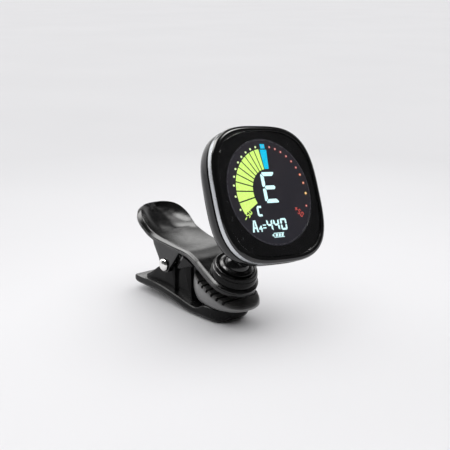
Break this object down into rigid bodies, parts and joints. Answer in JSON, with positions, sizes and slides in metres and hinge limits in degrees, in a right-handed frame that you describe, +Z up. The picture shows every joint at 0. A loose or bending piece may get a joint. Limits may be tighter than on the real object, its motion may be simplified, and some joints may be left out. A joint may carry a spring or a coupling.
{
  "type": "clip-on instrument tuner",
  "caption": "Clip-on tuner: a rounded-square display head with back buttons and a coin cell door, on a ball joint carried by a sprung clip with rubber jaw pads.",
  "frame": {"origin": "centre line of the flat foot under the lower jaw, on the surface it stands on", "axes": "+X runs forward along the clip to the jaw tips, +Y to the clip's left hand along the pivot pin, +Z up; the foot faces -Z"},
  "size_m": [0.0767, 0.0458, 0.0699],
  "materials": {
    "satin_black_plastic": "satin",
    "gloss_black_plastic": "gloss",
    "smoked_lens": "gloss",
    "satin_silver": "satin",
    "chrome_steel": "polished",
    "bright_steel": "satin",
    "spring_brass": "satin",
    "grey_rubber": "matte",
    "board_green": "satin",
    "white_plastic": "satin",
    "display_glass": "gloss",
    "piezo_ceramic": "matte",
    "cell_can": "satin"
  },
  "bodies": {
    "lower_jaw": {"lower_lever": "satin_black_plastic", "pivot_pin": "chrome_steel", "pin_cap": "chrome_steel", "torsion_spring": "bright_steel", "lower_jaw_pad": "grey_rubber"},
    "upper_jaw": {"upper_lever": "satin_black_plastic", "upper_jaw_pad": "grey_rubber", "socket_collar": "satin_black_plastic"},
    "swivel_ring": {"ball_grip_ring": "satin_black_plastic", "ball_pressure_pad": "grey_rubber"},
    "ball_arm": {"ball_stud": "satin_black_plastic", "stud_washer": "bright_steel", "stud_screw": "bright_steel"},
    "head": {"front_bezel": "gloss_black_plastic", "display_lens": "smoked_lens", "trim_band": "satin_silver", "rear_cover": "gloss_black_plastic", "display_panel": "display_glass", "light_guide": "white_plastic", "backlight_led_left": "white_plastic", "backlight_led_right": "white_plastic", "display_frame": "white_plastic", "display_connector_strip": "grey_rubber", "main_board": "board_green", "tuner_chip": "satin_black_plastic", "timing_crystal": "bright_steel", "power_switch": "white_plastic", "mode_switch": "white_plastic", "pitch_switch": "white_plastic", "piezo_pickup": "piezo_ceramic", "coin_cell": "cell_can", "battery_cradle": "satin_black_plastic", "contact_negative": "spring_brass", "contact_positive": "spring_brass", "case_screw_1": "bright_steel", "case_screw_2": "bright_steel", "case_screw_3": "bright_steel", "case_screw_4": "bright_steel"},
    "power_button": {"power_button": "satin_black_plastic"},
    "mode_button": {"mode_button": "satin_black_plastic"},
    "pitch_button": {"pitch_button": "satin_black_plastic"},
    "battery_door": {"battery_door": "satin_black_plastic"}
  },
  "joints": [
    {"name": "clip_open", "type": "hinge", "parent": "lower_jaw", "child": "upper_jaw", "pos_m": [-0.0194, 0, 0.0148], "axis": [0, -1, 0], "range_deg": [0, 32], "stiffness_Nm_per_rad": 0.06, "springref_deg": -14.32, "deforming": ["torsion_spring"]},
    {"name": "swivel_turn", "type": "hinge", "parent": "upper_jaw", "child": "swivel_ring", "pos_m": [0.01145, 0, 0.02042], "axis": [0.4226, 0, 0.9063], "continuous": true},
    {"name": "ball_tilt", "type": "hinge", "parent": "swivel_ring", "child": "ball_arm", "pos_m": [0.01145, 0, 0.02042], "axis": [-0.199, 0.9756, 0.0928], "range_deg": [-60, 16]},
    {"name": "head_spin", "type": "hinge", "parent": "ball_arm", "child": "head", "pos_m": [0.01145, 0, 0.02042], "axis": [0.7466, 0.0896, 0.6592], "continuous": true},
    {"name": "power_press", "type": "slide", "parent": "head", "child": "power_button", "axis": [0.901, 0.0646, 0.4289], "range_m": [0, 0.0005], "stiffness_N_per_m": 10},
    {"name": "mode_press", "type": "slide", "parent": "head", "child": "mode_button", "axis": [0.901, 0.0646, 0.4289], "range_m": [0, 0.0005], "stiffness_N_per_m": 10},
    {"name": "pitch_press", "type": "slide", "parent": "head", "child": "pitch_button", "axis": [0.901, 0.0646, 0.4289], "range_m": [0, 0.0005], "stiffness_N_per_m": 10},
    {"name": "battery_door_turn", "type": "hinge", "parent": "head", "child": "battery_door", "pos_m": [0.01531, 0.00292, 0.04452], "axis": [0.901, 0.0646, 0.4289], "range_deg": [0, 30]}
  ]
}
